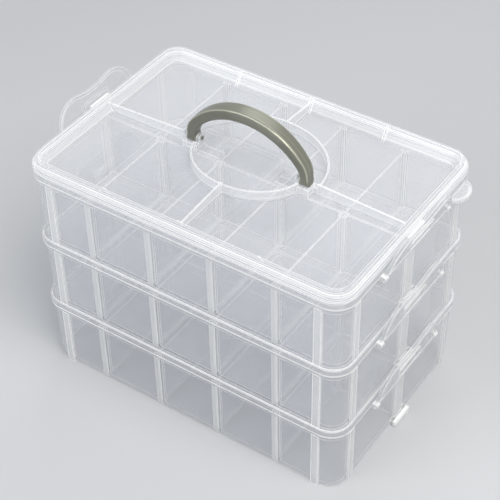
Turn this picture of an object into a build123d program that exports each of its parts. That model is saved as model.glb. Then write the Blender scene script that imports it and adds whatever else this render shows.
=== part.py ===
from build123d import *
from math import atan, cos, degrees, radians, sin, sqrt
import os

# Stacking organizer for small rolls and craft parts: three clear trays of ten
# cells, a lid with a folding handle, and a snap latch on both ends of each tray.
# X runs along the long side, Y to the back, Z up. The origin is the middle of
# the face that the box stands on. All sizes are in millimetres.

# Overall sizes
collar_length = 250.0
collar_width = 169.0
collar_radius = 16.0
pitch = 57.5
tray_count = 3

# Tray shell
wall = 1.8
floor = 1.8
collar_proud = 2.4
draft = 0.4
wall_radius = 13.5
skirt_start = 47.5
skirt_height = 5.5
rim_rise = 1.2
rim_wall = 1.3
edge_fillet = 0.5

# How far a rib or block runs into the wall that carries it
wall_bite = 0.9
middle_bite = 0.3
panel_bite = 0.4

# Ribs and pilasters
divider_places = [-73.5, -24.5, 24.5, 73.5]
divider_thickness = 1.2
divider_top = 50.6
divider_corner = 3.0
slot_gap = 1.6
slot_rib = 2.0
slot_depth = 2.2
slot_top = 50.0
fit_gap = 0.25
spine_thickness = 1.6
spine_top = 51.0
pilaster_width = 5.5
pilaster_proud = 1.2
pilaster_x = 105.5
pilaster_y = 64.5
end_pilaster_width = 10.0

# Keepers that the latches hook over
keeper_width = 19.0
keeper_height = 5.0
keeper_reach = 127.2
keeper_slot = 21.0

# Thumb tab on the collar of the top tray
tab_y = 62.5
tab_half_width = 11.5
tab_reach = 7.0
tab_z = 47.8
tab_thickness = 1.4
tab_bead = 1.6

# Latches: the angle is how far the flap leans out from upright
hinge_x = 127.0
hinge_z = 51.5
flap_thickness = 1.4
bead_proud = 0.8
bead_width = 3.0
bead_start = 5.0
flap_foot = 38.1
foot_height = 2.7
lobe_place = 20.5
lobe_radius = 19.3
lobe_height = 22.7
waist_height = 20.2
window_width = 25.0
window_bottom = 4.6
window_top = 11.6
window_frame = 1.8
window_radius = 1.5
frame_radius = 2.5
barrel_radius = 1.7
pin_radius = 0.9
pin_hole_radius = 0.98
ear_radius = 2.2
ear_root = 3.2
ear_start = 38.4
ear_end = 41.6
latch_angle = {"tray_bottom": 7.0, "tray_middle": 7.0, "tray_top": 14.0}

# Lid
lid_shoulder = 4.5
lid_rim_inset = 2.9
lid_rim_radius = 13.0
lid_rim_height = 7.8
lid_shoulder_fillet = 2.2
lid_rim_fillet = 0.8
lid_overlap = 1.0
lid_rim_top_width = 2.4
lid_sheet = 1.6
lid_slope = 7.0
lid_panel_drop = 10.3
plug_gap = 0.5
plug_depth = 0.9
tick_places = [-60.0, 0.0, 60.0]
tick_width = 1.8
tick_proud = 1.0
tick_head_proud = 1.5
tick_head_bite = 0.8
tick_drop = 0.8

# Middle of the lid: thin ribs run from the rim to a low wall round the handle,
# which stands nearer in front than at the back, where the handle folds down
rib_thickness = 1.2
rib_rim_z = 2.9
rib_middle_z = 0.3
rib_start_x = 54.0
ring_top_drop = 1.5
ring_wall = 1.2
ring_front = (42.0, 33.0)
ring_back = (55.0, 48.0)
ring_front_stop = 5.0

# Sockets for the feet of the handle
socket_inner = 38.4
socket_outer = 50.2
socket_front = 6.2
socket_back = 4.0
socket_height = 6.6
socket_floor = 1.2
socket_front_wall = 1.5
cheek_radius = 3.2
strake_length = 16.0
strake_y = 3.5
strake_height = 1.0

# Handle: a flattened arch, outer and inner line as half width, corner, crown, top
outer_line = (48.0, 18.0, 55.0, 218.2)
inner_line = (41.5, 14.0, 49.0, 209.8)
crown_depth = 11.2
foot_depth = 8.0
foot_radius = 3.95
handle_edge = 1.6
pivot_z = 180.5
handle_pin_radius = 1.4
handle_hole_radius = 1.48
handle_pin_end = 37.6
side_gap = 0.4

# Worked out from the sizes above
top_length = collar_length - 2 * collar_proud
top_width = collar_width - 2 * collar_proud
base_length = top_length - 2 * draft
base_width = top_width - 2 * draft
draft_angle = degrees(atan(draft / pitch))
skirt_angle = degrees(atan(collar_proud / skirt_height))
inner_length = base_length - 2 * wall
inner_width = base_width - 2 * wall
recess_length = collar_length - 2 * rim_wall
recess_width = collar_width - 2 * rim_wall
lid_seat = tray_count * pitch + rim_rise
lid_top = lid_seat + lid_rim_height
panel_top = lid_top - lid_panel_drop
well_length = collar_length - 2 * (lid_rim_inset + lid_rim_top_width + lid_slope)
well_width = collar_width - 2 * (lid_rim_inset + lid_rim_top_width + lid_slope)
ring_top = lid_top - ring_top_drop

os.makedirs("parts", exist_ok=True)


def wall_block(low, high, mode=Mode.ADD):
    # A block between two opposite corners, for the ribs and blocks of a piece
    size = [h - l for l, h in zip(low, high)]
    middle = [(h + l) / 2 for l, h in zip(low, high)]
    with Locations(tuple(middle)):
        Box(*size, mode=mode)


def make_tray(name, base_z, has_tab):
    # One tray: tapered shell, flared collar with a seat for the tier above
    ledge_z = base_z + pitch
    rim_z = ledge_z + rim_rise
    inner_half_x = inner_length / 2
    inner_half_y = inner_width / 2
    with BuildPart() as tray:
        with BuildSketch(Plane.XY.offset(base_z)):
            RectangleRounded(base_length, base_width, wall_radius)
        extrude(amount=pitch, taper=-draft_angle)
        fillet(tray.faces().sort_by(Axis.Z)[0].edges(), edge_fillet)
        with BuildSketch(Plane.XY.offset(base_z + skirt_start)):
            RectangleRounded(top_length, top_width, wall_radius)
        extrude(amount=skirt_height, taper=-skirt_angle)
        with BuildSketch(Plane.XY.offset(base_z + skirt_start + skirt_height)):
            RectangleRounded(collar_length, collar_width, collar_radius)
        extrude(amount=rim_z - base_z - skirt_start - skirt_height)
        fillet(tray.faces().sort_by(Axis.Z)[-1].edges(), edge_fillet)
        with BuildSketch(Plane.XY.offset(base_z + floor)):
            RectangleRounded(inner_length, inner_width, wall_radius - wall)
        extrude(amount=pitch - floor, taper=-draft_angle, mode=Mode.SUBTRACT)
        with BuildSketch(Plane.XY.offset(ledge_z)):
            RectangleRounded(recess_length, recess_width, collar_radius - rim_wall)
        extrude(amount=rim_rise, mode=Mode.SUBTRACT)

        # Lengthwise wall between the two rows of cells
        wall_block((-inner_half_x - wall_bite, -spine_thickness / 2, base_z + floor / 2),
                   (inner_half_x + wall_bite, spine_thickness / 2, base_z + spine_top))

        # Paired ribs that hold each divider, on the long walls and on the middle wall
        for place in divider_places:
            for side in (-1, 1):
                x_low = place + side * (slot_gap / 2 + slot_rib / 2) - slot_rib / 2
                for row in (-1, 1):
                    spans = ((spine_thickness / 2 - middle_bite, spine_thickness / 2 + slot_depth),
                             (inner_half_y - slot_depth, inner_half_y + wall_bite))
                    for near, far in spans:
                        y_low, y_high = sorted((row * near, row * far))
                        wall_block((x_low, y_low, base_z + floor / 2),
                                   (x_low + slot_rib, y_high, base_z + slot_top))

        # Upright pilasters beside each corner and in the middle of each end
        outer_x = base_length / 2
        outer_y = base_width / 2
        pilaster_top = base_z + skirt_start + wall_bite
        for side in (-1, 1):
            for other in (-1, 1):
                x_mid = side * pilaster_x
                y_low, y_high = sorted((other * (outer_y - wall_bite), other * (outer_y + pilaster_proud)))
                wall_block((x_mid - pilaster_width / 2, y_low, base_z),
                           (x_mid + pilaster_width / 2, y_high, pilaster_top))
                y_mid = side * pilaster_y
                x_low, x_high = sorted((other * (outer_x - wall_bite), other * (outer_x + pilaster_proud)))
                wall_block((x_low, y_mid - pilaster_width / 2, base_z),
                           (x_high, y_mid + pilaster_width / 2, pilaster_top))
            x_low, x_high = sorted((side * (outer_x - wall_bite), side * (outer_x + pilaster_proud)))
            wall_block((x_low, -end_pilaster_width / 2, base_z),
                       (x_high, end_pilaster_width / 2, pilaster_top))

        # Keeper block at the foot of each end, for the latch of the tier below
        for side in (-1, 1):
            x_low, x_high = sorted((side * (outer_x - wall_bite), side * keeper_reach))
            wall_block((x_low, -keeper_width / 2, base_z),
                       (x_high, keeper_width / 2, base_z + keeper_height))

        # Hinge ears for this tray's own latches, each with a hole for the pin
        axis_z = base_z + hinge_z
        for y_start in (-ear_end, ear_start):
            ear_plane = Plane(origin=(0, y_start, 0), x_dir=(1, 0, 0), z_dir=(0, 1, 0))
            with BuildSketch(ear_plane):
                for side in (-1, 1):
                    with Locations((side * hinge_x, -axis_z)):
                        Circle(ear_radius)
                    with Locations((side * (hinge_x - ear_root / 2), -axis_z)):
                        Rectangle(ear_root, 2 * ear_radius)
            extrude(amount=ear_end - ear_start)
            with BuildSketch(ear_plane):
                with Locations((-hinge_x, -axis_z), (hinge_x, -axis_z)):
                    Circle(pin_hole_radius)
            extrude(amount=ear_end - ear_start, mode=Mode.SUBTRACT)

        # Gap in the rim where the keeper of the tier above passes
        for side in (-1, 1):
            with Locations((side * (recess_length / 2 + rim_wall / 2), 0, ledge_z + rim_rise / 2)):
                Box(2 * rim_wall, keeper_slot, rim_rise, mode=Mode.SUBTRACT)

        # Rounded thumb tab under the collar at the right-hand end, with a beaded edge
        if has_tab:
            tab_radius = (tab_half_width ** 2 + tab_reach ** 2) / (2 * tab_reach)
            tab_low = base_z + tab_z
            tab_inner = top_length / 2 - wall_bite
            tab_outer = collar_length / 2 + tab_reach
            for low_z, height, inset in ((tab_low, tab_thickness, 0.0),
                                         (tab_low - tab_thickness / 2, 2 * tab_thickness, tab_bead)):
                with BuildSketch(Plane.XY.offset(low_z)):
                    with Locations((tab_outer - tab_radius, tab_y)):
                        Circle(tab_radius)
                        if inset > 0:
                            Circle(tab_radius - inset, mode=Mode.SUBTRACT)
                    with Locations(((tab_inner + tab_outer) / 2, tab_y)):
                        Rectangle(tab_outer - tab_inner, 2 * tab_half_width, mode=Mode.INTERSECT)
                extrude(amount=height)
    tray.part.label = name
    export_step(tray.part, f"parts/{name}.step")


def make_divider(name, place, row, base_z):
    # Loose partition between the middle wall and a long wall, held by the ribs
    near = spine_thickness / 2 + fit_gap
    foot = inner_width / 2 - fit_gap
    head = foot + draft * (divider_top - floor) / pitch
    low_z = base_z + floor
    high_z = base_z + divider_top
    side_plane = Plane(origin=(place - divider_thickness / 2, 0, 0), x_dir=(0, 1, 0), z_dir=(1, 0, 0))
    with BuildPart() as divider:
        with BuildSketch(side_plane) as profile:
            with BuildLine():
                Polyline((row * near, low_z), (row * foot, low_z), (row * head, high_z),
                         (row * near, high_z), close=True)
            make_face()
            top_corners = profile.vertices().group_by(Axis.Z)[-1]
            fillet(top_corners, divider_corner)
        extrude(amount=divider_thickness)
    divider.part.label = name
    export_step(divider.part, f"parts/{name}.step")


def make_latch(name, side, base_z, angle):
    # Snap flap with two lobes, a window for the keeper and a hinge barrel with pins
    lean = radians(angle)
    centre = (side * hinge_x, 0, base_z + hinge_z)
    flap_plane = Plane(origin=centre, x_dir=(0, side, 0), z_dir=(side * cos(lean), 0, -sin(lean)))
    barrel_plane = Plane(origin=centre, x_dir=(1, 0, 0), z_dir=(0, 1, 0))
    lobe_centre = lobe_height - lobe_radius
    drop = waist_height - lobe_centre
    waist_radius = (lobe_place ** 2 + drop ** 2 - lobe_radius ** 2) / (2 * (lobe_radius - drop))
    share = lobe_radius / (lobe_radius + waist_radius)
    joint = (lobe_place * (1 - share), lobe_centre + share * (waist_height + waist_radius - lobe_centre))
    with BuildSketch(Plane.XY, mode=Mode.PRIVATE) as outline:
        with BuildLine():
            TangentArc((0, waist_height), joint, tangent=(1, 0))
            RadiusArc(joint, (lobe_place + lobe_radius, lobe_centre), lobe_radius)
            Polyline((lobe_place + lobe_radius, lobe_centre), (flap_foot, foot_height), (flap_foot, 0),
                     (0, 0), (0, waist_height))
        make_face()
        mirror(about=Plane.YZ)
    window_height = window_top - window_bottom
    window_middle = (0, window_bottom + window_height / 2)
    with BuildPart() as latch:
        with BuildSketch(flap_plane):
            add(outline.sketch)
            with Locations(window_middle):
                RectangleRounded(window_width, window_height, window_radius, mode=Mode.SUBTRACT)
        extrude(amount=flap_thickness / 2, both=True)
        # Raised edge along the free side and round the window, on the outer face only
        with BuildSketch(flap_plane):
            add(outline.sketch)
            offset(outline.sketch, amount=-bead_width, mode=Mode.SUBTRACT)
            Rectangle(4 * flap_foot, 2 * bead_start, mode=Mode.SUBTRACT)
            with Locations(window_middle):
                RectangleRounded(window_width + 2 * window_frame, window_height + 2 * window_frame,
                                 frame_radius)
                RectangleRounded(window_width, window_height, window_radius, mode=Mode.SUBTRACT)
        extrude(amount=flap_thickness / 2 + bead_proud)
        with BuildSketch(barrel_plane):
            Circle(barrel_radius)
        extrude(amount=flap_foot, both=True)
        with BuildSketch(barrel_plane):
            Circle(pin_radius)
        extrude(amount=ear_end - fit_gap, both=True)
    latch.part.label = name
    export_step(latch.part, f"parts/{name}.step")


def lid_ring(low_z, height, length, width, radius, mode=Mode.ADD, taper=0.0):
    # A rounded slab of the lid, added or cut away
    with BuildSketch(Plane.XY.offset(low_z)) as slab:
        RectangleRounded(length, width, radius)
    extrude(slab.sketch, amount=height, taper=taper, mode=mode)


def make_lid():
    # Thin moulded sheet: shoulder on the collar, raised rim, sloping wall down to a sunk panel
    rim_length = collar_length - 2 * lid_rim_inset
    rim_width = collar_width - 2 * lid_rim_inset
    well_radius = lid_rim_radius - lid_rim_top_width - lid_slope
    slope_angle = degrees(atan(lid_slope / lid_panel_drop))
    shoulder_top = lid_seat + lid_shoulder
    panel_low = panel_top - lid_sheet
    with BuildPart() as lid:
        lid_ring(lid_seat, lid_shoulder, collar_length, collar_width, collar_radius)
        fillet(lid.faces().sort_by(Axis.Z)[-1].edges(), lid_shoulder_fillet)
        lid_ring(shoulder_top - lid_overlap, lid_rim_height - lid_shoulder + lid_overlap, rim_length,
                 rim_width, lid_rim_radius)
        fillet(lid.faces().sort_by(Axis.Z)[-1].edges(), lid_rim_fillet)
        lid_ring(lid_seat, lid_shoulder - lid_sheet, recess_length - 2 * lid_overlap,
                 recess_width - 2 * lid_overlap, collar_radius - rim_wall - lid_overlap, Mode.SUBTRACT)
        lid_ring(lid_seat, lid_rim_height - lid_sheet, rim_length - 2 * lid_sheet,
                 rim_width - 2 * lid_sheet, lid_rim_radius - lid_sheet, Mode.SUBTRACT)
        # Lip that drops inside the collar of the top tray
        lid_ring(lid_seat - plug_depth, plug_depth + lid_shoulder - lid_overlap,
                 recess_length - 2 * plug_gap, recess_width - 2 * plug_gap,
                 collar_radius - rim_wall - plug_gap)
        lid_ring(lid_seat - plug_depth, plug_depth + lid_shoulder - lid_sheet, top_length - 2 * wall,
                 top_width - 2 * wall, wall_radius - wall, Mode.SUBTRACT)
        # Sloping wall of the well and the sunk panel
        lid_ring(panel_low, lid_top - panel_low - lid_sheet, well_length + 2 * lid_sheet,
                 well_width + 2 * lid_sheet, well_radius + lid_sheet, taper=-slope_angle)
        lid_ring(panel_top, lid_panel_drop, well_length, well_width, well_radius, Mode.SUBTRACT,
                 taper=-slope_angle)

        # Ribs along the middle lines, lowest at the rim
        add_ribs(Plane.XZ, well_length / 2, rib_start_x, rib_start_x)
        add_ribs(Plane.YZ, well_width / 2, ring_front[1], ring_back[1])

        # Low oval wall round the handle, in two halves
        past_ring = ring_back[1] + 1.0
        for (half_x, half_y), low_y, high_y in ((ring_front, -past_ring, -ring_front_stop),
                                                (ring_back, 0.0, past_ring)):
            with BuildSketch(Plane.XY.offset(panel_top - panel_bite)):
                Ellipse(half_x, half_y)
                Ellipse(half_x - ring_wall, half_y - ring_wall, mode=Mode.SUBTRACT)
                with Locations((0, (low_y + high_y) / 2)):
                    Rectangle(2 * half_x + 2, high_y - low_y, mode=Mode.INTERSECT)
            extrude(amount=ring_top - panel_top + panel_bite)

        # Upright ribs on the sloping wall
        foot = well_width / 2
        head = foot + lid_slope
        for side in (-1, 1):
            with BuildSketch(Plane.YZ.offset(-tick_width / 2)) as tick:
                with BuildLine():
                    Polyline((side * (foot - tick_proud), panel_top - panel_bite),
                             (side * (foot + wall_bite), panel_top - panel_bite),
                             (side * (head + tick_head_bite), lid_top - tick_drop),
                             (side * (head - tick_head_proud), lid_top - tick_drop), close=True)
                make_face()
            for place in tick_places:
                with Locations((place, 0, 0)):
                    add(extrude(tick.sketch, amount=tick_width, mode=Mode.PRIVATE))

        # Sockets for the feet of the handle, open at the back, each with a drilled cheek
        for side in (-1, 1):
            x_low, x_high = sorted((side * socket_inner, side * socket_outer))
            wall_block((x_low, -socket_front, panel_top - panel_bite),
                       (x_high, socket_back, panel_top + socket_height))
            x_low, x_high = sorted((side * (socket_outer - panel_bite), side * (rib_start_x + panel_bite)))
            wall_block((x_low, -rib_thickness / 2, panel_top - panel_bite),
                       (x_high, rib_thickness / 2, panel_top + socket_height))
            x_low, x_high = sorted((side * (inner_line[0] - side_gap), side * (outer_line[0] + side_gap)))
            wall_block((x_low, socket_front_wall - socket_front, panel_top + socket_floor),
                       (x_high, socket_back + 1.0, ring_top), Mode.SUBTRACT)
            x_low, x_high = sorted((side * (socket_inner + panel_bite), side * (socket_inner - strake_length)))
            for y_mid in (-strake_y, strake_y):
                wall_block((x_low, y_mid - rib_thickness / 2, panel_top - panel_bite),
                           (x_high, y_mid + rib_thickness / 2, panel_top + strake_height))
        with BuildSketch(Plane.YZ.offset(socket_inner)) as cheek:
            with Locations((0, pivot_z)):
                Circle(cheek_radius)
            with Locations((0, (pivot_z + panel_top) / 2)):
                Rectangle(2 * cheek_radius, pivot_z - panel_top)
        cheek_part = extrude(amount=inner_line[0] - side_gap - socket_inner)
        mirror(cheek_part, about=Plane.YZ)
        with BuildSketch(Plane.YZ):
            with Locations((0, pivot_z)):
                Circle(handle_hole_radius)
        extrude(amount=inner_line[0], both=True, mode=Mode.SUBTRACT)

        # Keepers for the latches of the top tray
        for side in (-1, 1):
            x_low, x_high = sorted((side * (collar_length / 2 - wall_bite), side * keeper_reach))
            keeper_top = tray_count * pitch + keeper_height
            wall_block((x_low, -keeper_width / 2, lid_seat + middle_bite),
                       (x_high, keeper_width / 2, keeper_top))
    lid.part.label = "lid"
    export_step(lid.part, "parts/lid.step")


def add_ribs(plane, foot, low_start, high_start):
    # Two upright ribs of the lid in one plane, from the sloping wall to the oval wall
    slope_share = (lid_top - rib_rim_z - panel_top) / lid_panel_drop
    reach = foot + slope_share * lid_slope
    for side, start in ((-1, low_start), (1, high_start)):
        with BuildSketch(plane.offset(-rib_thickness / 2)) as rib:
            with BuildLine():
                Polyline((side * (start - wall_bite), panel_top - panel_bite),
                         (side * (foot + wall_bite), panel_top - panel_bite),
                         (side * (reach + wall_bite), lid_top - rib_rim_z),
                         (side * (start - wall_bite), lid_top - rib_middle_z), close=True)
            make_face()
        extrude(rib.sketch, amount=rib_thickness)


def arch_edge(line):
    # Half of one edge of the arch: from the pivot line up its leg and round to the crown
    half, corner, crown, top = line
    crown_z = top - crown
    corner_x = half - corner
    reach = crown - corner
    rise = sqrt(reach ** 2 - corner_x ** 2)
    corner_z = crown_z + rise
    joint = (corner_x / reach * crown, crown_z + rise / reach * crown)
    bisector = 0.5 * atan(rise / corner_x)
    corner_mid = (corner_x + corner * cos(bisector), corner_z + corner * sin(bisector))
    crown_mid = (joint[0] / 2, crown_z + sqrt(crown ** 2 - (joint[0] / 2) ** 2))
    Line((half, pivot_z), (half, corner_z))
    ThreePointArc((half, corner_z), corner_mid, joint)
    ThreePointArc(joint, crown_mid, (0, top))


def make_handle():
    # Arched grip, deepest at the crown, with round feet and a pin that points inwards
    foot_half = foot_depth / 2
    crown_half = crown_depth / 2
    with BuildPart() as handle:
        with BuildSketch(Plane.XZ):
            with BuildLine():
                arch_edge(outer_line)
                arch_edge(inner_line)
                Line((inner_line[0], pivot_z), (outer_line[0], pivot_z))
                Line((0, inner_line[3]), (0, outer_line[3]))
            make_face()
            mirror(about=Plane.YZ)
        extrude(amount=crown_half, both=True)
        with BuildSketch(Plane.YZ):
            with BuildLine():
                Polyline((-foot_half, pivot_z), (foot_half, pivot_z), (crown_half, outer_line[3]),
                         (-crown_half, outer_line[3]), close=True)
            make_face()
        extrude(amount=outer_line[0] + 1, both=True, mode=Mode.INTERSECT)
        sides = handle.faces().filter_by(lambda f: abs(f.normal_at().Y) > 0.9)
        rounded = sides.edges().filter_by(lambda e: e.center().Z > pivot_z + 0.5)
        fillet(rounded, handle_edge)
        for side in (-1, 1):
            with BuildSketch(Plane.YZ.offset(side * inner_line[0])):
                with Locations((0, pivot_z)):
                    Circle(foot_radius)
            extrude(amount=side * (outer_line[0] - inner_line[0]))
            with BuildSketch(Plane.YZ.offset(side * handle_pin_end)):
                with Locations((0, pivot_z)):
                    Circle(handle_pin_radius)
            extrude(amount=side * (inner_line[0] + 1.0 - handle_pin_end))
    handle.part.label = "handle"
    export_step(handle.part, "parts/handle.step")


tray_names = ["tray_bottom", "tray_middle", "tray_top"]
for level, tray_name in enumerate(tray_names):
    tier_z = level * pitch
    make_tray(tray_name, tier_z, level == tray_count - 1)
    for row, row_name in ((-1, "front"), (1, "back")):
        for number, place in enumerate(divider_places, start=1):
            divider_name = tray_name.replace("tray", "divider") + f"_{row_name}_{number}"
            make_divider(divider_name, place, row, tier_z)
    for side, side_name in ((1, "right"), (-1, "left")):
        latch_name = tray_name.replace("tray", "latch") + f"_{side_name}"
        make_latch(latch_name, side, tier_z, latch_angle[tray_name])
make_lid()
make_handle()
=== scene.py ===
import math

import bpy
from mathutils import Matrix, Vector


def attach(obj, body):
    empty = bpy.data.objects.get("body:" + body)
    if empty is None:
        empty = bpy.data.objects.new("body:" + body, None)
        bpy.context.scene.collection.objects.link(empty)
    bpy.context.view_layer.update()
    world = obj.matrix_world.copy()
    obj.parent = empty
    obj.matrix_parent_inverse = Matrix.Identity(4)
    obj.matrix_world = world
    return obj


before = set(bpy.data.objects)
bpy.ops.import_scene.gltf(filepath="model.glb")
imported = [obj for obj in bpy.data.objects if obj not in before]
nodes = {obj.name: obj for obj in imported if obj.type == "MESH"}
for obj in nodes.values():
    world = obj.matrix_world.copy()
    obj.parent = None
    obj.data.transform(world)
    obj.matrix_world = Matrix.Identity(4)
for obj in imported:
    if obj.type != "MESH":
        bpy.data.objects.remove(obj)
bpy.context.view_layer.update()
scene = bpy.context.scene

# Camera: it stands to the right of the front and looks down on the lid, as the
# photograph was taken, with a long lens and a slight roll to the right.
camera_back = Vector((0.4254, -0.6137, 0.6652)).normalized()
camera_target = Vector((0.0, 0.0, 0.09814))
camera_distance = 1.0015
camera_roll = math.radians(-1.061)
level_way = Vector((0, 0, 1)).cross(camera_back).normalized()
steep_way = camera_back.cross(level_way)
right_way = level_way * math.cos(camera_roll) + steep_way * math.sin(camera_roll)
up_way = steep_way * math.cos(camera_roll) - level_way * math.sin(camera_roll)
photo_size = 500
focal_pixels = 1433.8
middle_pixel = (250.85, 250.27)
camera_data = bpy.data.cameras.new("camera")
camera_data.sensor_width = 36.0
camera_data.lens = focal_pixels / photo_size * camera_data.sensor_width
camera_data.clip_end = 30.0
camera_data.shift_x = 0.5 - middle_pixel[0] / photo_size
camera_data.shift_y = middle_pixel[1] / photo_size - 0.5
camera = bpy.data.objects.new("camera", camera_data)
scene.collection.objects.link(camera)
turn = Matrix((right_way, up_way, camera_back)).transposed().to_4x4()
camera.matrix_world = Matrix.Translation(camera_target + camera_back * camera_distance) @ turn
scene.camera = camera


# Room: a plain pale grey floor, one large soft lamp high on the right, a cooler
# fill from the front left, one behind, and an even low light all round.
class Wire:
    """One output of the nodes of a material or world: sums on it add Math nodes."""

    def __init__(self, tree, socket=None):
        self.tree = tree
        self.socket = socket

    def join(self, socket, value):
        if isinstance(value, Wire):
            self.tree.links.new(value.socket, socket)
        else:
            socket.default_value = value

    def node(self, kind, settings=None, out=0, sockets=None, **values):
        made = self.tree.nodes.new(kind)
        for name, value in (settings or {}).items():
            if name == "stops":
                ramp = made.color_ramp
                while len(ramp.elements) < len(value):
                    ramp.elements.new(0.5)
                for element, (place, colour) in zip(ramp.elements, value):
                    element.position = place
                    element.color = colour
            else:
                setattr(made, name, value)
        for name, value in {**(sockets or {}), **values}.items():
            place = name if isinstance(name, int) else name.replace("_", " ")
            self.join(made.inputs[place], value)
        return Wire(self.tree, made.outputs[out]) if made.outputs else None

    def math(self, operation, first, second):
        return self.node("ShaderNodeMath", {"operation": operation}, sockets={0: first, 1: second})

    def size(self):
        return self.node("ShaderNodeMath", {"operation": "ABSOLUTE"}, sockets={0: self})

    def __add__(self, other):
        return self.math("ADD", self, other)

    def __radd__(self, other):
        return self.math("ADD", other, self)

    def __sub__(self, other):
        return self.math("SUBTRACT", self, other)

    def __rsub__(self, other):
        return self.math("SUBTRACT", other, self)

    def __mul__(self, other):
        return self.math("MULTIPLY", self, other)

    def __rmul__(self, other):
        return self.math("MULTIPLY", other, self)

    def __pow__(self, other):
        return self.math("POWER", self, other)


def new_finish(name):
    material = bpy.data.materials.new(name)
    material.use_nodes = True
    material.node_tree.nodes.clear()
    return material, Wire(material.node_tree)


def surface(material, shader):
    shader.node("ShaderNodeOutputMaterial", Surface=shader)
    return material


def seen(start):
    # 1 for what is seen directly, in gloss or through clear plastic
    rays = [start.node("ShaderNodeLightPath", out=name)
            for name in ("Is Camera Ray", "Is Glossy Ray", "Is Transmission Ray")]
    return start.node("ShaderNodeClamp", Value=rays[0] + rays[1] + rays[2])


darker_paper = (0.560, 0.568, 0.580, 1)
lighter_paper = (0.580, 0.588, 0.600, 1)
pale_grey = (0.62, 0.63, 0.65, 1)
room_strength = 0.36
fade_start = 0.5
fade_end = 1.3
floor_half = 3.0
floor_drop = 0.0002
bpy.ops.object.select_all(action="DESELECT")
bpy.ops.mesh.primitive_plane_add(size=2 * floor_half, location=(0, 0, -floor_drop))
floor = bpy.context.active_object
floor.name = "floor"
floor_paper, start = new_finish("pale_grey_paper")
mottle = start.node("ShaderNodeTexNoise", Scale=6.0, Detail=3.0, out="Fac")
paper_tone = start.node("ShaderNodeValToRGB", {"stops": [(0.3, darker_paper), (0.7, lighter_paper)]},
                        Fac=mottle)
paper = start.node("ShaderNodeBsdfPrincipled", Base_Color=paper_tone, Roughness=0.9)
place = start.node("ShaderNodeTexCoord", out="Object")
distance = start.node("ShaderNodeVectorMath", {"operation": "LENGTH"}, out="Value", sockets={0: place})
far = start.node("ShaderNodeMapRange", Value=distance, From_Min=fade_start, From_Max=fade_end)
backdrop = start.node("ShaderNodeEmission", Color=pale_grey)
floor.data.materials.append(surface(floor_paper, start.node("ShaderNodeMixShader", sockets={
    0: far * seen(start), 1: paper, 2: backdrop})))

room = bpy.data.worlds.new("soft_room")
scene.world = room
room.use_nodes = True
room.node_tree.nodes.clear()
start = Wire(room.node_tree)
room_light = start.node("ShaderNodeBackground", Color=(0.92, 0.95, 1.0, 1), Strength=room_strength)
backdrop = start.node("ShaderNodeBackground", Color=pale_grey, Strength=1.0)
start.node("ShaderNodeOutputWorld", Surface=start.node("ShaderNodeMixShader", sockets={
    0: seen(start), 1: room_light, 2: backdrop}))

for lamp_name, lamp_place, lamp_size, lamp_power, lamp_tint in (
        ("lamp_main", (0.80, -0.30, 1.45), 0.9, 20.0, (1.0, 0.98, 0.945)),
        ("lamp_fill", (-0.7, -1.4, 0.9), 1.1, 12.0, (0.94, 0.97, 1.0)),
        ("lamp_back", (-0.4, 1.4, 1.3), 1.2, 8.0, (0.94, 0.97, 1.0))):
    lamp_data = bpy.data.lights.new(lamp_name, "AREA")
    lamp_data.size = lamp_size
    lamp_data.energy = lamp_power
    lamp_data.color = lamp_tint
    lamp = bpy.data.objects.new(lamp_name, lamp_data)
    scene.collection.objects.link(lamp)
    lamp.location = lamp_place
    lamp.rotation_mode = "QUATERNION"
    lamp.rotation_quaternion = (Vector(lamp_place) - camera_target).to_track_quat("Z", "Y")
scene.cycles.transparent_max_bounces = 64


# Trays: each is moulded in one piece from clear polypropylene, milky in the
# thickness, so that its flat walls look a cool grey and every edge and rib white; the
# collar, ribs, pilasters, keepers and a fine flange line are whiter still, partly from
# thicker plastic and partly as painted highlight.
def clear_plastic(name, flat_cover, steep_cover, edge_cover, edge_reach, flat_tint, edge_tint, milky_and_highlit=None,
                  quiet=None):
    # cover is how solid the plastic looks, flat on, at a slant and on edges; the mask function
    # gives the places that look whiter and more solid, partly from thicker plastic and partly
    # as painted highlight, and quiet lowers the edges where the real ones hardly show
    material, start = new_finish(name)
    place = start.node("ShaderNodeTexCoord", out="Object")
    swirl = start.node("ShaderNodeTexNoise", Vector=place, Scale=26.0, Detail=4.0)
    soft_face = start.node("ShaderNodeBevel", {"samples": 6}, Radius=edge_reach, out="Normal")
    skin = start.node("ShaderNodeBump", Height=swirl, Strength=0.25, Distance=0.0005)
    true_face = start.node("ShaderNodeNewGeometry", out="Normal")
    likeness = start.node("ShaderNodeVectorMath", {"operation": "DOT_PRODUCT"}, out="Value",
                          sockets={0: true_face, 1: soft_face})
    edge = start.node("ShaderNodeClamp", Value=(1.0 - likeness) * edge_gain)
    if quiet:
        edge = edge * quiet(place)
    glance = start.node("ShaderNodeLayerWeight", Blend=0.35, out="Facing")
    # painted highlight: this mask makes places whiter and more solid, partly for thicker plastic and partly
    # as painted highlight
    milk_and_highlight = start.node("ShaderNodeClamp", Value=milky_and_highlit(place), Max=most_milk_and_highlight) if milky_and_highlit else 0.0
    cover = (glance ** 2.0) * (steep_cover - flat_cover) + flat_cover + (swirl - 0.5) * swirl_cover
    cover = cover + edge * edge_cover + milk_and_highlight * milk_and_highlight_cover
    cover = start.node("ShaderNodeClamp", Value=cover, Min=least_cover, Max=most_cover)
    white = start.node("ShaderNodeClamp", Value=edge + glance * glance_white + milk_and_highlight * milk_and_highlight_white)
    tint = start.node("ShaderNodeMix", {"data_type": "RGBA"}, out=2,
                      sockets={0: white, 6: flat_tint + (1,), 7: edge_tint + (1,)})
    shader = start.node("ShaderNodeBsdfPrincipled", Base_Color=tint, Roughness=swirl * 0.1 + 0.14,
                        Normal=skin, Alpha=cover, IOR=1.49)
    return surface(material, shader)


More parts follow.
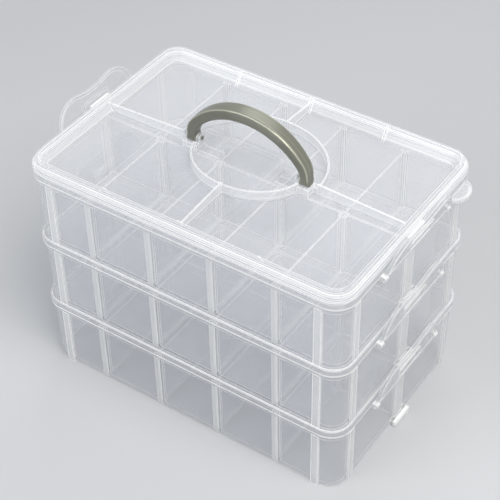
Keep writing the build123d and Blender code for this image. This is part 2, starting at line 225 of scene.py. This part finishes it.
def ramp(value, low, high):
    # 0 below low, 1 above high
    return value.node("ShaderNodeMapRange", Value=value, From_Min=low, From_Max=high)


def near(value, middle, half):
    # 1 within a band around the middle, 0 outside
    return 1.0 - ramp((value - middle).size(), half, half + fine_step)


def axes(place):
    return [place.node("ShaderNodeSeparateXYZ", Vector=place, out=name) for name in "XYZ"]


def tray_milk_and_highlight(place):
    # Where the moulding looks whiter, partly from thicker plastic and partly as painted highlight: collar, a
    # fine line at the flange foot, paired ribs, pilasters, and the keepers of the latches
    along_x, along_y, height = axes(place)
    from_middle = along_x.size()
    from_spine = along_y.size()
    tier = place.math("MODULO", height + (tier_pitch - rim_rise), tier_pitch)
    collar = ramp(tier, collar_start - soft_step, collar_start + soft_step)
    flange_line = near(tier, flange_foot, flange_line_half)
    beside = place.math("MODULO", along_x + divider_pitch * 4, divider_pitch)
    past_ribs = ramp(from_middle, last_rib_x, last_rib_x + 0.0010)
    ribs = near(beside, divider_pitch / 2, rib_pair_half) * (1.0 - past_ribs)
    on_front = ramp(from_spine, front_wall_y, front_wall_y + soft_step)
    corner_bars = near(from_middle, front_bar_x, bar_half) * on_front
    middle_bar = near(from_spine, 0.0, middle_bar_half)
    end_bars = place.math("MAXIMUM", near(from_spine, end_bar_y, bar_half), middle_bar)
    end_bars = end_bars * ramp(from_middle, end_wall_x, end_wall_x + soft_step)
    bars = place.math("MAXIMUM", ribs, place.math("MAXIMUM", corner_bars, end_bars))
    keeper = ramp(from_middle, keeper_x, keeper_x + fine_step) * near(from_spine, 0.0, keeper_half)
    keeper = keeper * (1.0 - ramp(tier, keeper_height, keeper_height + soft_step))
    bars = bars * (1.0 - collar)
    return collar * collar_milk_and_highlight + flange_line * flange_milk_and_highlight + bars * bar_milk_and_highlight + keeper * keeper_milk_and_highlight


def dress(name, material):
    piece = nodes[name]
    piece.data.materials.clear()
    piece.data.materials.append(material)


edge_gain = 7.0
swirl_cover = 0.05
# how far the whiter places, partly thicker plastic and partly painted highlight, raise cover and whiteness
milk_and_highlight_cover = 0.22
milk_and_highlight_white = 0.7
most_milk_and_highlight = 4.0
glance_white = 0.4
least_cover = 0.02
most_cover = 0.96
# strengths of the whiter tray places, partly thicker plastic and partly painted highlight
collar_milk_and_highlight = 0.3
flange_milk_and_highlight = 2.0
bar_milk_and_highlight = 0.8
keeper_milk_and_highlight = 3.5
soft_step = 0.0005
fine_step = 0.0003
tier_pitch = 0.0575
rim_rise = 0.0013
collar_start = 0.0475 - rim_rise
flange_foot = 0.0532 - rim_rise
flange_line_half = 0.0006
divider_pitch = 0.049
last_rib_x = 0.1000
rib_pair_half = 0.0024
front_bar_x = 0.1055
end_bar_y = 0.0645
bar_half = 0.0028
middle_bar_half = 0.0050
front_wall_y = 0.0780
end_wall_x = 0.1185
keeper_x = 0.1245
keeper_half = 0.0096
keeper_height = 0.0040
tray_plastic = clear_plastic("clear_tray_plastic", flat_cover=0.17, steep_cover=0.60, edge_cover=1.0,
                             edge_reach=0.0011, flat_tint=(0.71, 0.73, 0.77), edge_tint=(0.99, 0.99, 0.98),
                             milky_and_highlit=tray_milk_and_highlight)
for level in ("bottom", "middle", "top"):
    dress(f"tray_{level}", tray_plastic)

# Dividers: loose plates of the same plastic, a little thinner than the tray walls,
# pushed down between the paired ribs.
divider_plastic = clear_plastic("clear_divider_plastic", flat_cover=0.13, steep_cover=0.50, edge_cover=0.8,
                                edge_reach=0.0013, flat_tint=(0.74, 0.76, 0.80),
                                edge_tint=(0.98, 0.98, 0.98))
for name in nodes:
    if name.startswith("divider_"):
        dress(name, divider_plastic)


# Lid: one thin moulded sheet, the clearest piece of the box, with upright ribs and
# a low oval wall that catch the light.
def lid_milk_and_highlight(place):
    # Where the lid looks whiter, partly from thicker plastic and partly as painted highlight: rim, its two
    # fine lines, keepers, and what stands on the panel
    along_x, along_y, height = axes(place)
    past_end = along_x.size() - rim_foot_x
    past_side = along_y.size() - rim_foot_y
    rim = ramp(place.math("MAXIMUM", past_end, past_side), 0.0, rim_step)
    keeper = ramp(along_x.size(), lid_keeper_x, lid_keeper_x + fine_step) * near(along_y, 0.0, keeper_half)
    standing = ramp(height, panel_z, panel_z + soft_step) * (1.0 - rim)
    foot_line = near(height, shoulder_foot_z, foot_line_half)
    lines = foot_line + near(height, shoulder_top_z, top_line_half) * rim
    return rim * rim_milk_and_highlight + standing * standing_milk_and_highlight + lines * line_milk_and_highlight + keeper * keeper_milk_and_highlight


def lid_quiet(place):
    # Edges show less at the level of the panel, and on the oval wall and sockets
    height = axes(place)[2]
    flat = place.node("ShaderNodeVectorMath", {"operation": "MULTIPLY"}, sockets={0: place, 1: oval_stretch})
    reach = place.node("ShaderNodeVectorMath", {"operation": "LENGTH"}, out="Value", sockets={0: flat})
    inside = 1.0 - ramp(reach, oval_reach, oval_reach + oval_step)
    above_panel = ramp(height, panel_z + 0.0001, panel_z + 0.0013)
    return (above_panel * (1.0 - panel_edges) + panel_edges) * (1.0 - inside * oval_hush)


# strengths of the whiter lid places, partly thicker plastic and partly painted highlight
rim_milk_and_highlight = 0.3
standing_milk_and_highlight = 0.45
line_milk_and_highlight = 0.8
panel_edges = 0.25
oval_hush = 0.3
rim_step = 0.0008
foot_line_half = 0.0005
top_line_half = 0.0004
rim_foot_x = 0.1190
rim_foot_y = 0.0785
lid_keeper_x = 0.1252
panel_z = 0.1717
shoulder_foot_z = 0.1742
shoulder_top_z = 0.1780
oval_reach = 0.0560
oval_step = 0.0020
oval_stretch = (1.0, 1.1, 0.0)
lid_plastic = clear_plastic("clear_lid_plastic", flat_cover=0.15, steep_cover=0.55, edge_cover=1.0,
                            edge_reach=0.0010, flat_tint=(0.81, 0.83, 0.87), edge_tint=(0.99, 0.99, 0.99),
                            milky_and_highlit=lid_milk_and_highlight, quiet=lid_quiet)
dress("lid", lid_plastic)

# Latches: small flaps with a thick edge, moulded in the same plastic and frosted on
# the face.
latch_plastic = clear_plastic("frosted_latch_plastic", flat_cover=0.22, steep_cover=0.60, edge_cover=1.2,
                              edge_reach=0.0008, flat_tint=(0.66, 0.68, 0.71),
                              edge_tint=(0.99, 0.99, 0.97))
for name in nodes:
    if name.startswith("latch_"):
        dress(name, latch_plastic)

# Handle: a solid arch of olive grey plastic with a satin skin, moulded in one piece
# with its pins, and a fine raised line along both upper edges, coloured paler than
# the arch as a painted highlight.
dark_olive = (0.195, 0.195, 0.158, 1)
light_olive = (0.300, 0.300, 0.242, 1)
# painted highlight: the bead's paler olive stands in for light caught along the upper edges
bead_painted_highlight_olive = (0.46, 0.46, 0.37, 1)
handle_plastic, start = new_finish("olive_satin_plastic")
place = start.node("ShaderNodeTexCoord", out="Object")
lengthwise = start.node("ShaderNodeVectorMath", {"operation": "MULTIPLY"},
                        sockets={0: place, 1: (14.0, 900.0, 14.0)})
streaks = start.node("ShaderNodeTexNoise", Vector=lengthwise, Scale=1.0, Detail=2.0)
olive = start.node("ShaderNodeValToRGB", {"stops": [(0.35, dark_olive), (0.65, light_olive)]}, Fac=streaks)
skin = start.node("ShaderNodeBump", Height=streaks, Strength=0.3, Distance=0.0001)
surface(handle_plastic, start.node("ShaderNodeBsdfPrincipled", Base_Color=olive, Normal=skin,
                                   Roughness=streaks * 0.12 + 0.28, Metallic=0.5, IOR=1.5))
dress("handle", handle_plastic)
# bead finish: a paler olive as a painted highlight, with a lower roughness
bead_painted_highlight_plastic, start = new_finish("bead_painted_highlight")
surface(bead_painted_highlight_plastic, start.node("ShaderNodeBsdfPrincipled", Base_Color=bead_painted_highlight_olive, Roughness=0.25,
                                 Metallic=0.5, IOR=1.5))

mm = 0.001
pivot_z = 180.5
leg_start_z = 182.5
corner_centre = (30.0, 184.86)
corner_radius = 18.0
crown_centre_z = 163.2
crown_top_z = 218.2
foot_half = 4.0
crown_half = 5.6
crown_lean = math.atan2(crown_half - foot_half, crown_top_z - pivot_z)
bead_radius = 0.65
bead_inset = 0.75
bead_sides = 10
corner_steps = 8
crown_steps = 28
leg_length = (corner_centre[1] - leg_start_z) * mm
corner_turn = math.atan2(corner_centre[1] - crown_centre_z, corner_centre[0])
bead_x = corner_centre[0] + corner_radius - bead_inset
for side, side_name in ((-1, "front"), (1, "back")):
    bpy.ops.object.select_all(action="DESELECT")
    bpy.ops.mesh.primitive_circle_add(vertices=bead_sides, radius=bead_radius * mm,
                                      location=(-bead_x * mm, 0, leg_start_z * mm))
    bead = bpy.context.active_object
    bead.name = f"handle_bead_{side_name}"
    bpy.ops.object.transform_apply(location=True, rotation=True, scale=True)
    bpy.ops.object.mode_set(mode="EDIT")
    bpy.ops.mesh.select_all(action="SELECT")
    bpy.ops.mesh.extrude_region_move(TRANSFORM_OT_translate={"value": (0, 0, leg_length)})
    for centre_x, centre_z, angle, steps in (
            (-corner_centre[0], corner_centre[1], corner_turn, corner_steps),
            (0.0, crown_centre_z, math.pi - 2 * corner_turn, crown_steps),
            (corner_centre[0], corner_centre[1], corner_turn, corner_steps)):
        bpy.ops.mesh.spin(steps=steps, angle=-angle, center=(centre_x * mm, 0, centre_z * mm),
                          axis=(0, 1, 0))
    bpy.ops.mesh.extrude_region_move(TRANSFORM_OT_translate={"value": (0, 0, -leg_length)})
    bpy.ops.mesh.select_all(action="SELECT")
    bpy.ops.mesh.remove_doubles(threshold=0.00001)
    bpy.ops.mesh.select_all(action="DESELECT")
    bpy.ops.mesh.select_non_manifold()
    bpy.ops.mesh.fill_holes(sides=12)
    bpy.ops.mesh.select_all(action="SELECT")
    bpy.ops.mesh.normals_make_consistent(inside=False)
    bpy.ops.object.mode_set(mode="OBJECT")
    bead.location = (0, 0, -pivot_z * mm)
    bpy.ops.object.transform_apply(location=True, rotation=True, scale=True)
    bead.location = (0, side * (foot_half - bead_inset) * mm, pivot_z * mm)
    bead.rotation_euler = (-side * crown_lean, 0, 0)
    bpy.ops.object.transform_apply(location=True, rotation=True, scale=True)
    bpy.ops.object.shade_smooth_by_angle(angle=math.radians(40))
    bead.data.materials.append(bead_painted_highlight_plastic)
    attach(bead, "handle")

scene.view_settings.view_transform = "Standard"
